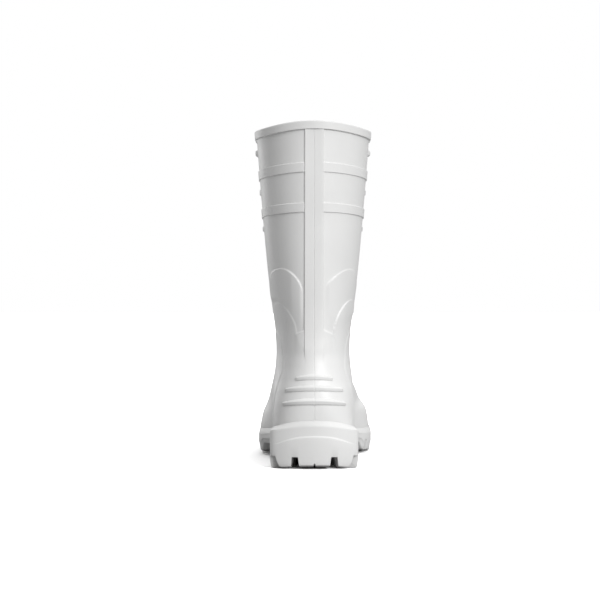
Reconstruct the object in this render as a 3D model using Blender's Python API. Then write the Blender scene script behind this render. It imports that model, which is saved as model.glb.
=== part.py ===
"""A white waterproof work boot for the left foot: a moulded knee boot that stands empty on its sole.

y runs forward from the back of the sole, z up from the back edge of the heel, which its bevel holds off the floor,
and x to the right seen from behind, so the outer side of this left boot is towards -x. Sizes are millimetres, turned
to metres where a mesh is made.
"""
import bisect
import math
from typing import NamedTuple

import bpy
from mathutils import Vector

MM = 0.001

# Walls and fits
WALL = 2.8              # moulded wall of leg and foot
FIT_GAP = 0.3           # between two pieces
INSOLE_THICK = 4.0
INSOLE_PLAY = 0.5       # between the insole and the wall round it
INSOLE_EDGE = 0.8       # rounding of the insole's upper edge

# Stations along the foot
HEEL_Y = 45.0
WAIST_Y = 112.0
BALL_OUT_Y = 180.0
BALL_IN_Y = 204.0

# Rings of the upper
FRONT_SHAPE = 2.15      # 2 is an ellipse, more is squarer
BACK_STEPS = 7
MID_SHARES = (0.22, 0.255, 0.40, 0.548, 0.582, 0.617, 0.652, 0.82, 1.0)
FRONT_STEPS = 8
DIP_REACH = 1.5         # how far a ring's dip reaches along it, in lengths of its rounded back

# The strip down the back of the leg
STRIP_HALF = 10.0
STRIP_LOW = 107.0
STRIP_PROUD = 1.1
EDGE = 0.6              # run of a moulded step

# The sole
RIM_Z = 44.0            # back of the sole's rim, against the upper
LEDGE = 2.9             # how far the sole stands out past the upper
HEEL_ARC = 80.0         # radius of the back of the sole's heel
HEEL_SQUARE = 30.0      # how sharply it turns at its corners
HEEL_LIFT = 0.0048      # how the lift of its back edge carries on round the corners
BALL_DRAFT = 1.1        # how much narrower the ledge is beside the outer ball
HEEL_PLATE_PROUD = 0.8
HEEL_PLATE_HALF = 25.0
HEEL_PLATE_FADE = 9.0
LUG_HEIGHT = 12.3
LUG_DRAFT = 1.5         # how much wider each side of a groove is at the floor
GROOVE_WIDTH = 6.2
CHANNEL_WIDTH = 5.0
GROOVE_OUTER = 78.0     # past the edge of the sole
ARCH_SLANT_OUT = 0.12   # how the forefoot's tread starts further forward towards either side
ARCH_SLANT_IN = 0.25

WHITE_PVC = (0.80, 0.80, 0.79, 1.0)
SOLE_PVC = (0.78, 0.78, 0.77, 1.0)
FELT = (0.62, 0.62, 0.60, 1.0)


class SoleLine(NamedTuple):
    """Heights of the sole at one place along it."""
    y: float
    tread_z: float
    deck_z: float
    rim_line_z: float   # line that the rim and the foot of the upper keep to
    edge_z: float       # outer edge of the ledge


SOLE_LINES = (
    SoleLine(0, 0.6, 28.0, 39.0, 40.3),
    SoleLine(9, -3.2, 28.0, 35.6, 36.8),
    SoleLine(22, -4.8, 27.8, 31.9, 33.4),
    SoleLine(40, -4.8, 27.2, 29.4, 31.0),
    SoleLine(86, -4.8, 24.0, 25.6, 26.6),
    SoleLine(92, 10.0, 23.3, 25.0, 25.9),
    SoleLine(150, 8.6, 16.0, 19.6, 20.0),
    SoleLine(156, 0.6, 15.4, 19.2, 19.6),
    SoleLine(180, -1.8, 13.7, 18.1, 18.2),
    SoleLine(207, -4.8, 13.5, 18.2, 18.2),
    SoleLine(238, -4.8, 14.0, 19.1, 19.1),
    SoleLine(270, -0.6, 17.2, 22.8, 22.8),
    SoleLine(314, 11.0, 25.5, 31.0, 31.0),
)


class Ring(NamedTuple):
    """One ring of the upper, from its back point round both sides to its front point."""
    back_z: float       # height of the back point, which is the ring's place in the surface
    back_y: float
    front_y: float
    front_z: float
    follow: float       # how far the ring keeps to the rise and fall of the sole
    dip: float          # how far it dips between its back and its sides
    heel: float         # half widths
    waist_out: float
    waist_in: float
    ball_out: float
    ball_in: float
    back_cap: float     # lengths of the rounded ends
    front_cap: float
    back_shape: float   # 2 is an ellipse, less is more pointed
    toe_x: float        # sideways place of the front point


RINGS = (
    Ring(28.3, 3.8, 308.6, 24.7, 1.00, 0.0, 40.5, 37.5, 31.5, 56.2, 61.5, 44, 88, 2.4, 6.0),
    Ring(44.0, 3.2, 310.8, 36.0, 1.00, 0.0, 41.5, 39.5, 35.5, 57.2, 62.6, 45, 88, 2.4, 6.0),
    Ring(54.0, 2.8, 308.0, 52.0, 0.85, 0.0, 41.6, 41.0, 39.0, 54.6, 60.2, 46, 84, 2.3, 6.0),
    Ring(64.0, 3.2, 296.0, 63.5, 0.65, 0.0, 41.4, 42.0, 41.4, 48.8, 51.4, 48, 82, 2.2, 5.5),
    Ring(74.0, 4.8, 272.0, 70.5, 0.45, 0.0, 41.0, 42.0, 43.4, 45.5, 48.0, 52, 92, 2.1, 4.5),
    Ring(86.0, 8.2, 240.0, 79.0, 0.30, 0.0, 39.7, 40.6, 42.4, 43.0, 44.5, 56, 96, 2.0, 3.0),
    Ring(98.0, 11.6, 207.0, 92.5, 0.15, 0.0, 38.4, 39.0, 39.8, 41.0, 41.0, 60, 90, 2.0, 1.5),
    Ring(112.0, 14.2, 178.0, 111.0, 0.05, 0.0, 37.7, 38.0, 38.2, 40.0, 40.0, 62, 78, 2.0, 0.5),
    Ring(130.0, 15.2, 158.0, 130.0, 0.00, 0.0, 38.6, 38.6, 38.6, 39.0, 39.0, 64, 70, 2.0, 0.0),
    Ring(155.0, 15.0, 147.5, 152.0, 0.00, 0.0, 41.7, 41.7, 41.7, 41.7, 41.7, 65, 66, 2.0, 0.0),
    Ring(190.0, 13.6, 143.5, 186.0, 0.00, 0.0, 46.2, 46.2, 46.2, 46.2, 46.2, 65, 64, 2.0, 0.0),
    Ring(235.0, 11.2, 144.5, 229.5, 0.00, 0.65, 50.5, 50.5, 50.5, 50.5, 50.5, 66, 66, 2.0, 0.0),
    Ring(285.0, 8.8, 148.0, 278.0, 0.00, 5.8, 54.6, 54.6, 54.6, 54.6, 54.6, 68, 70, 2.0, 0.0),
    Ring(344.7, 6.2, 152.0, 338.2, 0.00, 21.5, 59.2, 59.2, 59.2, 59.2, 59.2, 70, 74, 2.0, 0.0),
)


class Band(NamedTuple):
    """A raised band right round the leg, by the heights of its edges at the back."""
    low: float
    high: float
    proud: float


BANDS = (
    Band(253.0, 262.2, 1.1),
    Band(293.2, 302.7, 1.1),
    Band(336.1, 344.7, 1.9),
)


class HeelRib(NamedTuple):
    """A kick-off rib across the back of the heel."""
    low: float
    high: float
    half_length: float
    proud: float


HEEL_RIBS = (
    HeelRib(59.0, 67.0, 31.7, 2.4),
    HeelRib(73.0, 80.0, 29.0, 2.2),
    HeelRib(84.2, 90.7, 18.5, 2.0),
)
RIB_UNDER = 0.8
RIB_SLOPE = 2.4
RIB_END = 5.0


class ShinRib(NamedTuple):
    """A rib round the front of the leg, from side to side. The last of them is the front of the collar."""
    low: float
    high: float
    rear_y: float
    proud: float


SHIN_RIBS = (
    ShinRib(238.8, 246.2, 78.0, 1.8),
    ShinRib(277.4, 285.2, 78.0, 1.8),
    ShinRib(318.6, 326.2, 68.0, 2.5),
    ShinRib(332.6, 346.3, 66.0, 1.4),
)
SHIN_SLOPE = 1.6
SHIN_END = 8.0

# Rows of the wall between the steps above, by height at the back
OUTER_ROWS = (28.3, 36.0, 44.0, 49.0, 54.0, 70.0, 95.5, 101.0, 113.0, 120.0, 128.0, 138.0, 150.0, 165.0, 182.0,
              200.0, 218.0)
INNER_ROWS = (28.3, 36.0, 44.0, 51.0, 58.0, 65.0, 72.0, 79.0, 86.0, 94.0, 102.0, 111.0, 120.0, 130.0, 145.0,
              165.0, 195.0, 235.0, 285.0, 344.7)
CUP_ROWS = (44.0, 36.0, 28.3)


class Groove(NamedTuple):
    """A straight groove in the tread, between two places on the floor."""
    from_x: float
    from_y: float
    to_x: float
    to_y: float
    width: float


class SideGroove(NamedTuple):
    """A groove cut in from both edges of the sole."""
    inner_x: float
    inner_y: float
    outer_y: float


SIDE_GROOVES = (
    SideGroove(17.5, 15, 13),
    SideGroove(14.5, 39, 39),
    SideGroove(10.5, 65, 65),
    SideGroove(24, 180, 176),
    SideGroove(24, 202, 198),
    SideGroove(23, 224, 220),
    SideGroove(21, 246, 242),
    SideGroove(19, 268, 263),
    SideGroove(16, 288, 283),
)
CHANNELS = (
    Groove(-21.2, -6, -10.5, 66, 6.4),
    Groove(21.2, -6, 10.5, 66, 6.4),
    Groove(-23.5, 146, -17, 293, CHANNEL_WIDTH),
    Groove(25.5, 146, 22, 293, CHANNEL_WIDTH),
)
CENTRE_GROOVES = (
    Groove(-15, 34, 15, 34, CHANNEL_WIDTH),
    Groove(-12, 56, 12, 56, CHANNEL_WIDTH),
    Groove(-23, 169, 25, 169, CHANNEL_WIDTH),
    Groove(-22, 191, 25, 191, CHANNEL_WIDTH),
    Groove(-21, 213, 24, 213, CHANNEL_WIDTH),
    Groove(-20, 235, 24, 235, CHANNEL_WIDTH),
    Groove(-19, 257, 23, 257, CHANNEL_WIDTH),
)


def mix(first, second, share):
    return first + (second - first) * share


def clamp(value):
    return min(max(value, 0.0), 1.0)


def ease(value):
    value = clamp(value)
    return value * value * (3 - 2 * value)


class Curve:
    """A smooth line through one column of a table, which doesn't overshoot its rows."""

    def __init__(self, places, values):
        self.places = list(places)
        self.values = list(values)
        last = len(self.places) - 1
        rises = []
        for i in range(last):
            rises.append((self.values[i + 1] - self.values[i]) / (self.places[i + 1] - self.places[i]))
        self.slopes = [rises[0]]
        for before, after in zip(rises, rises[1:]):
            self.slopes.append(2 * before * after / (before + after) if before * after > 0 else 0.0)
        self.slopes.append(rises[-1])

    def at(self, place):
        place = min(max(place, self.places[0]), self.places[-1])
        i = min(bisect.bisect_right(self.places, place), len(self.places) - 1) - 1
        run = self.places[i + 1] - self.places[i]
        t = (place - self.places[i]) / run
        rise = ease(t)
        start = t * (1 - t) ** 2 * run * self.slopes[i]
        end = t * t * (1 - t) * run * self.slopes[i + 1]
        return mix(self.values[i], self.values[i + 1], rise) + start - end


def columns(table):
    """A curve for each column of a table, against its first column."""
    first, *rest = zip(*table)
    return [Curve(first, column) for column in rest]


TREAD_Z, DECK_Z, RIM_LINE_Z, EDGE_Z = columns(SOLE_LINES)
RING_CURVES = columns(RINGS)


def ring_at(back_z):
    return Ring(back_z, *(curve.at(back_z) for curve in RING_CURVES))


def half_width(ring, y, side):
    waist = ring.waist_out if side < 0 else ring.waist_in
    ball = ring.ball_out if side < 0 else ring.ball_in
    ball_y = BALL_OUT_Y if side < 0 else BALL_IN_Y
    if y < WAIST_Y:
        return mix(ring.heel, waist, ease((y - HEEL_Y) / (WAIST_Y - HEEL_Y)))
    return mix(waist, ball, ease((y - WAIST_Y) / (ball_y - WAIST_Y)))


def ring_z(ring, y):
    """Height along a ring: level between its ends, or keeping to the line of the sole."""
    along = (y - ring.back_y) / (ring.front_y - ring.back_y)
    up = clamp((ring.back_z - RINGS[0].back_z) / (RIM_Z - RINGS[0].back_z))

    def line(place):
        return mix(DECK_Z.at(place), RIM_LINE_Z.at(place), up)

    sag = line(y) - mix(line(ring.back_y), line(ring.front_y), along)
    reach = clamp((y - ring.back_y) / (DIP_REACH * ring.back_cap))
    dip = ring.dip * reach * (1 - reach) ** 2
    return mix(ring.back_z, ring.front_z, along) + ring.follow * sag - dip


def stations(ring):
    """Places along a ring from back to front, each with its share of the half width there."""
    back_power = 2 / ring.back_shape
    front_power = 2 / FRONT_SHAPE
    strip = math.asin((STRIP_HALF / ring.heel) ** (1 / back_power))
    strip_edge = math.asin(((STRIP_HALF + EDGE) / ring.heel) ** (1 / back_power))
    turns = [0.0, strip / 2, strip, strip_edge]
    for step in range(1, BACK_STEPS + 1):
        turns.append(mix(strip_edge, math.pi / 2, step / BACK_STEPS))
    places = []
    for turn in turns:
        depth = ring.back_cap * (1 - max(math.cos(turn), 0.0) ** back_power)
        places.append((ring.back_y + depth, math.sin(turn) ** back_power))
    straight_from = ring.back_y + ring.back_cap
    straight_to = ring.front_y - ring.front_cap
    for share in MID_SHARES:
        places.append((mix(straight_from, straight_to, share), 1.0))
    for step in range(FRONT_STEPS - 1, -1, -1):
        turn = math.pi / 2 * step / FRONT_STEPS
        depth = ring.front_cap * (1 - math.cos(turn) ** front_power)
        places.append((ring.front_y - depth, math.sin(turn) ** front_power))
    return places


def ring_loop(back_z):
    """Points round a ring: from the back along the outer side to the front, and home along the inner side."""
    ring = ring_at(back_z)
    sides = {-1: [], 1: []}
    for y, share in stations(ring):
        lean = ease((y - WAIST_Y) / (ring.front_y - WAIST_Y))
        for side, points in sides.items():
            x = ring.toe_x * lean + side * half_width(ring, y, side) * share
            points.append(Vector((x, y, ring_z(ring, y))))
    return sides[-1] + sides[1][-2:0:-1]


def flat_normals(loop):
    """Outward directions round a loop, level with the floor."""
    normals = []
    for i in range(len(loop)):
        along = loop[(i + 1) % len(loop)] - loop[i - 1]
        normals.append(Vector((-along.y, along.x, 0)).normalized())
    return normals


def wall_rows(heights):
    """Rings of the upper at these heights, each with its outward directions."""
    loops = [ring_loop(height) for height in heights]
    rows = []
    for i, loop in enumerate(loops):
        if i in (0, len(loops) - 1):
            rows.append((loop, flat_normals(loop)))
            continue
        normals = []
        for j in range(len(loop)):
            along = loop[(j + 1) % len(loop)] - loop[j - 1]
            up = loops[i + 1][j] - loops[i - 1][j]
            normals.append(up.cross(along).normalized())
        rows.append((loop, normals))
    return rows


def relief(back_z, point):
    """How far the wall stands out at a point, for its bands, strip and ribs."""
    proud = 0.0
    at_back = point.y < HEEL_Y
    for band in BANDS:
        if band.low <= back_z <= band.high:
            proud = max(proud, band.proud)
    if at_back and STRIP_LOW <= back_z <= BANDS[-1].low and abs(point.x) < STRIP_HALF + EDGE / 2:
        proud = max(proud, STRIP_PROUD)
    for rib in HEEL_RIBS:
        if at_back:
            rise = min(clamp((back_z - rib.low) / RIB_UNDER), clamp((rib.high - back_z) / RIB_SLOPE))
            end = clamp((rib.half_length - abs(point.x)) / RIB_END + 0.5)
            proud = max(proud, rib.proud * rise * end)
    for rib in SHIN_RIBS:
        rise = min(clamp((back_z - rib.low) / SHIN_SLOPE), clamp((rib.high - back_z) / SHIN_SLOPE))
        end = ease((point.y - rib.rear_y) / SHIN_END)
        proud = max(proud, rib.proud * rise * end)
    return proud


def outer_heights():
    """Rows of the outer wall, with one at each edge of every step in it."""
    heights = set(OUTER_ROWS)
    heights.update((STRIP_LOW - EDGE, STRIP_LOW))
    for band in BANDS:
        heights.update((band.low - EDGE, band.low, band.high))
        if band.high < RINGS[-1].back_z:
            heights.add(band.high + EDGE)
    for rib in HEEL_RIBS:
        heights.update((rib.low, rib.low + RIB_UNDER, rib.high - RIB_SLOPE, rib.high))
    for rib in SHIN_RIBS:
        heights.update((rib.low, rib.low + SHIN_SLOPE, rib.high - SHIN_SLOPE, rib.high))
    return sorted(height for height in heights if height <= RINGS[-1].back_z)


def upper_loops():
    """Loops of the upper: up its outer wall, over the collar and down its inner wall."""
    heights = outer_heights()
    loops = []
    for height, (loop, normals) in zip(heights, wall_rows(heights)):
        loops.append([p + n * relief(height, p) for p, n in zip(loop, normals)])
    for loop, normals in reversed(wall_rows(INNER_ROWS)):
        loops.append([p - n * WALL for p, n in zip(loop, normals)])
    return loops


def tread_at(point):
    """Height of the tread, whose heel lifts all round its back and whose forefoot starts on a curve."""
    slant = ARCH_SLANT_OUT if point.x < 0 else ARCH_SLANT_IN
    slant *= ease((point.y - HEEL_Y) / (WAIST_Y - HEEL_Y))
    lift = HEEL_LIFT * (1 - ease((point.y - HEEL_Y / 3) / (HEEL_Y * 2 / 3)))
    return TREAD_Z.at(point.y - slant * abs(point.x) - lift * point.x ** 2)


def heel_corner(point):
    """How far the sole's heel reaches past an even ledge, because its back is flatter than the upper's."""
    if point.y >= HEEL_Y:
        return 0.0
    heel = ring_at(RIM_Z)
    away = math.hypot(point.x, HEEL_Y - point.y)
    across = abs(point.x) / away
    behind = (HEEL_Y - point.y) / away
    set_back = HEEL_ARC - (HEEL_Y - heel.back_y + LEDGE)
    to_back = math.sqrt(HEEL_ARC ** 2 - (set_back * across) ** 2) - set_back * behind
    to_side = (heel.heel + LEDGE) / max(across, 0.01)
    reach = (to_back ** -HEEL_SQUARE + to_side ** -HEEL_SQUARE) ** (-1 / HEEL_SQUARE)
    return max(reach - away - LEDGE, 0.0)


def sole_loops():
    """Loops of the sole: from the tread up its side, over the rim and down into the cup."""
    rim = ring_loop(RIM_Z)
    outward = flat_normals(rim)

    def beside_ball(point):
        return ball(point) * (1 - ease((point.y - 240) / 60)) if point.x < 0 else 0.0

    def side_loop(inset, height_at):
        loop = []
        for point, normal in zip(rim, outward):
            ledge = LEDGE + heel_corner(point) - BALL_DRAFT * beside_ball(point)
            place = point + normal * (ledge - inset(point))
            place.z = height_at(point)
            loop.append(place)
        return loop

    def plate(point):
        fade = clamp((HEEL_PLATE_HALF + HEEL_PLATE_FADE - abs(point.x)) / HEEL_PLATE_FADE)
        return -HEEL_PLATE_PROUD * fade if point.y < HEEL_Y else 0.0

    def up_side(point, share):
        return mix(tread_at(point), EDGE_Z.at(point.y), share)

    def plate_z(point):
        return up_side(point, mix(0.75, 0.62, ease(point.y / 20)))

    def ball(point):
        return ease((point.y - WAIST_Y) / (BALL_OUT_Y - WAIST_Y))

    loops = [
        side_loop(lambda p: mix(4.2, 5.6, ball(p)), tread_at),
        side_loop(lambda p: mix(1.9, 2.0, ball(p)), lambda p: tread_at(p) + mix(2.2, 2.4, ball(p))),
        side_loop(lambda p: mix(0.4, 0.8, ball(p)), lambda p: min(tread_at(p) + 7.0, up_side(p, 0.42))),
        side_loop(plate, lambda p: up_side(p, 0.5)),
        side_loop(plate, lambda p: plate_z(p) - HEEL_PLATE_PROUD),
        side_loop(lambda p: 0.0, plate_z),
        side_loop(lambda p: 0.0, lambda p: EDGE_Z.at(p.y)),
    ]
    cup = wall_rows(tuple(reversed(CUP_ROWS)))
    for loop, normals in reversed(cup):
        loops.append([p + Vector((n.x, n.y, 0)).normalized() * FIT_GAP for p, n in zip(loop, normals)])
    for point in loops[-1]:
        point.z = DECK_Z.at(point.y)
    return loops


def insole_loops():
    """Loops of the insole: its foot and its rounded upper edge."""
    seat = ring_loop(RINGS[0].back_z)
    outward = flat_normals(seat)
    loops = []
    for inset, rise in ((0.0, 0.0), (0.0, INSOLE_THICK - INSOLE_EDGE), (INSOLE_EDGE, INSOLE_THICK)):
        loop = []
        for point, normal in zip(seat, outward):
            place = point - normal * (WALL + INSOLE_PLAY + inset)
            place.z = DECK_Z.at(place.y) + FIT_GAP + rise
            loop.append(place)
        loops.append(loop)
    return loops


def make_material(name, colour, roughness):
    material = bpy.data.materials.new(name)
    material.use_nodes = True
    shader = material.node_tree.nodes["Principled BSDF"]
    shader.inputs["Base Color"].default_value = colour
    shader.inputs["Roughness"].default_value = roughness
    shader.inputs["Metallic"].default_value = 0.0
    return material


def make_object(name, points, faces, material, parent):
    mesh = bpy.data.meshes.new(name)
    mesh.from_pydata([tuple(point * MM) for point in points], [], faces)
    mesh.validate()
    obj = bpy.data.objects.new(name, mesh)
    bpy.context.scene.collection.objects.link(obj)
    obj.parent = parent
    if material is not None:
        mesh.materials.append(material)
        mesh.shade_smooth()
        mesh.set_sharp_from_angle(angle=math.radians(32))
    return obj


def joined(loops, closed):
    """Points and faces of loops joined in turn: closed into a ring of loops, or capped from side to side.

    Every wall is split along diagonals that lean the same way, so two walls that lie close keep their gap.
    """
    size = len(loops[0])
    points = [point for loop in loops for point in loop]
    faces = []
    spans = len(loops) if closed else len(loops) - 1
    for k in range(spans):
        this = k * size
        above = (k + 1) % len(loops) * size
        for j in range(size):
            after = (j + 1) % size
            if points[above + j].z < points[this + j].z:
                faces.append((this + after, this + j, above + after))
                faces.append((this + j, above + j, above + after))
            else:
                faces.append((this + after, this + j, above + j))
                faces.append((this + after, above + j, above + after))
    if not closed:
        top = (len(loops) - 1) * size
        for j in range(size // 2):
            near = (size - j) % size
            far = size - j - 1
            bottom_face = [j, j + 1, far, near]
            top_face = [top + near, top + far, top + j + 1, top + j]
            faces.append(tuple(dict.fromkeys(bottom_face)))
            faces.append(tuple(dict.fromkeys(top_face)))
    return points, faces


def groove_cutter(name, grooves, parent):
    """One cutting object for grooves that don't cross each other, each wider at the floor than at its root."""
    points = []
    faces = []
    for groove in grooves:
        start = Vector((groove.from_x, groove.from_y, 0))
        end = Vector((groove.to_x, groove.to_y, 0))
        along = (end - start).normalized()
        across = Vector((along.y, -along.x, 0))
        root_z = LUG_HEIGHT + TREAD_Z.at((groove.from_y + groove.to_y) / 2)
        below_z = TREAD_Z.at(HEEL_Y) - LUG_HEIGHT
        wide = groove.width / 2 + LUG_DRAFT * (root_z - below_z) / LUG_HEIGHT
        first = len(points)
        for place in (start, end):
            for side, z in ((-groove.width / 2, root_z), (groove.width / 2, root_z), (wide, below_z), (-wide, below_z)):
                corner = place + across * side
                corner.z = z
                points.append(corner)
        faces.append((first + 3, first + 2, first + 1, first))
        faces.append((first + 4, first + 5, first + 6, first + 7))
        for k in range(4):
            after = (k + 1) % 4
            faces.append((first + k, first + after, first + 4 + after, first + 4 + k))
    cutter = make_object(name, points, faces, None, parent)
    cutter.hide_render = True
    cutter.display_type = "WIRE"
    return cutter


def side_grooves():
    grooves = []
    for row in SIDE_GROOVES:
        for side in (-1, 1):
            grooves.append(Groove(side * row.inner_x, row.inner_y, side * GROOVE_OUTER, row.outer_y, GROOVE_WIDTH))
    return grooves


def main():
    for old in list(bpy.data.objects):
        bpy.data.objects.remove(old, do_unlink=True)

    boot = bpy.data.objects.new("boot", None)
    bpy.context.scene.collection.objects.link(boot)

    upper = joined(upper_loops(), closed=True)
    sole = joined(sole_loops(), closed=False)
    insole = joined(insole_loops(), closed=False)

    make_object("upper", *upper, make_material("white pvc", WHITE_PVC, 0.38), boot)
    outsole = make_object("outsole", *sole, make_material("sole pvc", SOLE_PVC, 0.45), boot)
    make_object("insole", *insole, make_material("insole felt", FELT, 0.9), boot)

    cutters = (("side_grooves", side_grooves()), ("channels", CHANNELS), ("centre_grooves", CENTRE_GROOVES))
    for name, grooves in cutters:
        cut = outsole.modifiers.new(name, "BOOLEAN")
        cut.operation = "DIFFERENCE"
        cut.solver = "EXACT"
        cut.object = groove_cutter(name, grooves, boot)

    every_point = upper[0] + sole[0]
    middle = Vector((0, 0, min(p.z for p in every_point)))
    for axis in (0, 1):
        values = [p[axis] for p in every_point]
        middle[axis] = (min(values) + max(values)) / 2
    boot.location = -middle * MM


main()
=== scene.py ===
"""Finished looks of a white waterproof work boot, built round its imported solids.

Sizes are millimetres in the boot's own axes: y forward from the back of the sole, z up from a level 4.8 mm
above the floor and x to the right seen from behind, so the outer side of this left boot is towards -x. The
frame's origin is on the floor, under the middle of the boot's box.
"""
import math
from typing import NamedTuple

import bmesh
import bpy
import numpy as np
from mathutils import Matrix, Vector

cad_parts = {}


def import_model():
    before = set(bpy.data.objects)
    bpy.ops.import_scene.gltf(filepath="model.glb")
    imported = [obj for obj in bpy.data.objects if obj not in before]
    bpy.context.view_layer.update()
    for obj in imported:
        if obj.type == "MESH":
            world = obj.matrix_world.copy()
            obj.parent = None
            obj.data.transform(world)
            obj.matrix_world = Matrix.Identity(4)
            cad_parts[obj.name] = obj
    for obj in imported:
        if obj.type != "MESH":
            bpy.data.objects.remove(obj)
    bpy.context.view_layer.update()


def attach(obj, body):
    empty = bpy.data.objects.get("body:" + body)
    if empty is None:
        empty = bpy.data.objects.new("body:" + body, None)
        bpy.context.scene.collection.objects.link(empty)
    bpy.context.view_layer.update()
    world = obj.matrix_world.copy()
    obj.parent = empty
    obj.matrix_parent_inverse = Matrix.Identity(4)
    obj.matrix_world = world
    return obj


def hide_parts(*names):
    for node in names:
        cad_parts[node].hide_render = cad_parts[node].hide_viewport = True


MM = 0.001
ORIGIN = (3.955, 156.6, -4.8)     # the frame's origin in the boot's own axes
FAR = 99.0              # further across than any line that is looked for

# Walls and fits
WALL = 2.8
FIT_GAP = 0.3
INSOLE_THICK = 4.0
INSOLE_PLAY = 0.5
INSOLE_EDGE = 1.4       # radius of its upper edge
INSOLE_EDGE_STEPS = 3
INSOLE_FOOT_IN = 0.4    # bevel of its lower edge
INSOLE_FOOT_UP = 0.5
INSOLE_DISH = 0.5       # how far its face sinks, by halfway in from its edge
INSOLE_SHARES = (0.12, 0.3, 0.5, 0.7, 0.9)
LINING_FROM = 46.0      # rows of the upper between which the lining shows
LINING_TO = 333.0
LINING_THICK = 0.9
LINING_BOND = 0.3       # how far its back lies in the wall

# Stations along the foot
HEEL_Y = 45.0
WAIST_Y = 112.0
BALL_OUT_Y = 180.0
BALL_IN_Y = 204.0
FRONT_SHAPE = 2.15
DIP_REACH = 1.5

# The strip down the back of the leg, with a fine groove along its outer edge
STRIP_HALF = 9.3
STRIP_LOW = 100.0
STRIP_PROUD = 1.4
STRIP_FLAT = 0.9        # how much lower its middle is, which makes its face flatter than the leg
STRIP_RUN_OUT = 0.4
STRIP_RUN_IN = 1.6
STRIP_FADE = 17.0       # over which its lower end sinks into the heel
STRIP_END_BELOW = 4.0   # where it stops covering the heel, below its lower end
STRIP_END_RUN = 6.0
STRIP_LINE_DEPTH = 1.1
STRIP_LINE_DEEPEST = 2.0    # where the strip sinks into the heel
STRIP_LINE_AWAY = 0.3   # from the strip's edge to the middle of the groove
STRIP_LINE_IN = 0.5
STRIP_LINE_OUT = 0.6
STRIP_LINE_BELOW = 1.0
STRIP_LINE_RUN = 2.0

# The parting line of the mould and the rim of the collar
PARTING_DEPTH = 0.42
PARTING_HALF = 0.45
RIM_ROUND = 1.3
RIM_STEPS = 5
RIM_CLOSE = 0.97        # keeps the round just short of level at the top

# The sole
RIM_Z = 44.0
CUP_Z = 36.0            # a row of its cup between the rim and the deck
LEDGE = 2.9
LEDGE_SHARES = (0.1, 0.5, 0.95)
LEDGE_ROUND_IN = 0.12
LEDGE_ROUND_DOWN = 0.15
LEDGE_RISES = (-1.8, -0.6)      # lines of the side just below the ledge
HEEL_ARC = 80.0         # radius of the back of the heel block
HEEL_SQUARE = 30.0      # how tight the corners of the heel block are
HEEL_LEAST = 0.01       # keeps the way to the side finite straight behind the heel
HEEL_LIFT = 0.0048      # how the lower back edge curves forward at its ends
BALL_DRAFT = 1.1        # how much narrower the ledge is at the outer ball
BALL_DRAFT_END = 240.0
BALL_DRAFT_RUN = 60.0
CORNER_FROM = 20.0      # from the middle of the heel's back to its rounder corners
CORNER_RUN = 16.0
SIDE_TALL = 34.0        # height of the side at which its small steps have their full size
SIDE_MIDDLE = 0.5       # share of the side's height from which the heel plate stands out in full
HEEL_PLATE_PROUD = 0.8
HEEL_PLATE_HALF = 25.0
HEEL_PLATE_FADE = 9.0
HEEL_PLATE_BACK = 0.75  # height of its step, as a share of the side's, at the back and further forward
HEEL_PLATE_SIDE = 0.62
HEEL_PLATE_TURN = 20.0
LUG_HEIGHT = 12.3
LUG_DRAFT = 1.5
LUG_EDGE = 0.45
LUG_EDGE_STEPS = 2
LUG_EDGE_SHAPE = 0.6
LUG_EDGE_ANGLE = math.radians(40)
FLAT_ANGLE = math.radians(0.6)
MERGE = 0.05
GROOVE_WIDTH = 6.2
CHANNEL_WIDTH = 5.0
GROOVE_OUTER = 78.0
ARCH_SLANT_OUT = 0.12
ARCH_SLANT_IN = 0.25

# The camera, almost level behind the heel
CAMERA_AWAY = 1600.0
CAMERA_UP = 159.5
CAMERA_RISE = 5.0       # how far the line of sight rises on its way to the boot
CAMERA_YAW = math.radians(0.85)
CAMERA_PITCH = math.atan(CAMERA_RISE / CAMERA_AWAY)
CAMERA_ASIDE = 14.5
CAMERA_AIM_Y = 5.0
CAMERA_REACH = 100.0    # metres
LENS = 96.0
SENSOR = 36.0

# The studio
FLOOR_HALF = 30.0       # metres
FLOOR_LIFT = 0.62       # what the floor's white gains where the camera sees it
FLOOR_BOUNCE = 0.36     # and how white the floor is for the light that it throws back
SKY_LOW = 0.11
SKY_HIGH = 0.58
SMOOTH_ANGLE = math.radians(32)


class SoleLine(NamedTuple):
    """Heights of the sole at one place along it."""
    y: float
    tread_z: float
    deck_z: float
    rim_line_z: float   # line that the rim and the foot of the upper keep to
    edge_z: float       # outer edge of the ledge


SOLE_LINES = (
    SoleLine(0, 0.6, 28.0, 39.0, 40.3),
    SoleLine(9, -3.2, 28.0, 35.6, 36.8),
    SoleLine(22, -4.8, 27.8, 31.9, 33.4),
    SoleLine(40, -4.8, 27.2, 29.4, 31.0),
    SoleLine(86, -4.8, 24.0, 25.6, 26.6),
    SoleLine(92, 10.0, 23.3, 25.0, 25.9),
    SoleLine(150, 8.6, 16.0, 19.6, 20.0),
    SoleLine(156, 0.6, 15.4, 19.2, 19.6),
    SoleLine(180, -1.8, 13.7, 18.1, 18.2),
    SoleLine(207, -4.8, 13.5, 18.2, 18.2),
    SoleLine(238, -4.8, 14.0, 19.1, 19.1),
    SoleLine(270, -0.6, 17.2, 22.8, 22.8),
    SoleLine(314, 11.0, 25.5, 31.0, 31.0),
)


class LowLine(NamedTuple):
    """A line round the sole's lower edge: insets and rises at the heel's back, its corners and the ball."""
    back_inset: float
    corner_inset: float
    ball_inset: float
    back_rise: float
    corner_rise: float
    ball_rise: float
    most: float         # share of the side's height that it rises at most


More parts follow.
